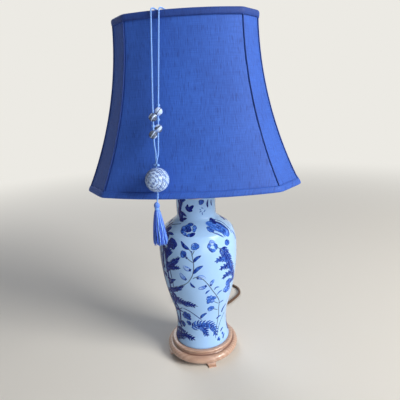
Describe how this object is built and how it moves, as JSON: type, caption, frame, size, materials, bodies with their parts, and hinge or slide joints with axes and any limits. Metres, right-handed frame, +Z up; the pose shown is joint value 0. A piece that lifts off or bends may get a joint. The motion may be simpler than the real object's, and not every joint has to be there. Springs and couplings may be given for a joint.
{
  "type": "table lamp",
  "caption": "Table lamp with a blue and white ginger jar on a turned wooden base, a blue silk bell shade with cut corners on a harp, and a beaded tassel ornament hung over the shade.",
  "frame": {"origin": "on the table, under the middle of the wooden base", "axes": "+Z up along the lamp pipe; the front face of the shade, with the ornament, looks along -Y; +X to the viewer's right"},
  "size_m": [0.3644, 0.419, 0.6235],
  "materials": {
    "wood": "satin",
    "porcelain": "gloss",
    "brass": "polished",
    "steel": "zinc plated",
    "aluminium": "bright",
    "brown_plastic": "matt",
    "felt": "matt",
    "card": "matt",
    "phenolic": "gloss",
    "frosted_glass": "frosted",
    "white_wire": "satin",
    "lining": "matt",
    "silk": "slub weave",
    "silk_trim": "slub weave",
    "satin_cord": "satin",
    "striped_bead": "gloss",
    "painted_ball": "gloss",
    "tassel_silk": "satin"
  },
  "bodies": {
    "lamp": {"wood_base": "wood", "foot_front": "wood", "foot_right": "wood", "foot_rear": "wood", "foot_left": "wood", "steel_washer": "steel", "lock_washer": "steel", "hex_nut": "steel", "lamp_pipe": "steel", "cord_bushing": "brown_plastic", "felt_ring": "felt", "jar_body": "porcelain", "vase_cap": "brass", "cap_check_ring": "brass", "brass_spacer": "brass", "saddle_check_ring": "brass", "harp_saddle": "brass", "harp_wire": "brass", "harp_stud": "brass", "socket_cap": "brass", "socket_shell": "brass", "socket_liner": "card", "socket_insulator": "phenolic", "screw_shell": "aluminium", "centre_contact": "brass", "terminal_screws": "brass", "cap_set_screw": "steel", "inner_wires": "brown_plastic", "power_cord": "brown_plastic", "cord_coil": "brown_plastic", "plug_lead": "brown_plastic", "plug_body": "brown_plastic", "plug_blades": "steel"},
    "shade": {"shade_frame": "white_wire", "shade_spider": "white_wire", "shade_liner": "lining", "panel_front": "silk", "panel_front_right": "silk", "panel_right": "silk", "panel_back_right": "silk", "panel_back": "silk", "panel_back_left": "silk", "panel_left": "silk", "panel_front_left": "silk", "top_trim": "silk_trim", "bottom_trim": "silk_trim", "seam_beads": "silk_trim", "ornament_string": "satin_cord", "ornament_beads": "striped_bead", "ornament_knots": "satin_cord", "ornament_ball": "painted_ball", "tassel_head": "tassel_silk", "tassel_skirt": "tassel_silk"},
    "finial": {"finial": "brass"},
    "switch": {"switch_shaft": "steel", "switch_knob": "phenolic"},
    "bulb": {"bulb_cap": "aluminium", "bulb_glass": "frosted_glass"},
    "sleeve_left": {"harp_sleeve_left": "brass"},
    "sleeve_right": {"harp_sleeve_right": "brass"}
  },
  "joints": [
    {"name": "shade_turn", "type": "hinge", "parent": "lamp", "child": "shade", "pos_m": [0, 0, 0.6], "axis": [0, 0, 1], "continuous": true},
    {"name": "finial_turn", "type": "hinge", "parent": "lamp", "child": "finial", "pos_m": [0, 0, 0.61], "axis": [0, 0, 1], "continuous": true},
    {"name": "switch_turn", "type": "hinge", "parent": "lamp", "child": "switch", "pos_m": [0, 0, 0.3709], "axis": [0, -1, 0], "continuous": true},
    {"name": "bulb_turn", "type": "hinge", "parent": "lamp", "child": "bulb", "pos_m": [0, 0, 0.39], "axis": [0, 0, 1], "continuous": true},
    {"name": "sleeve_left_lift", "type": "slide", "parent": "lamp", "child": "sleeve_left", "axis": [0, 0, 1], "range_m": [0, 0.016]},
    {"name": "sleeve_right_lift", "type": "slide", "parent": "lamp", "child": "sleeve_right", "axis": [0, 0, 1], "range_m": [0, 0.016]}
  ]
}
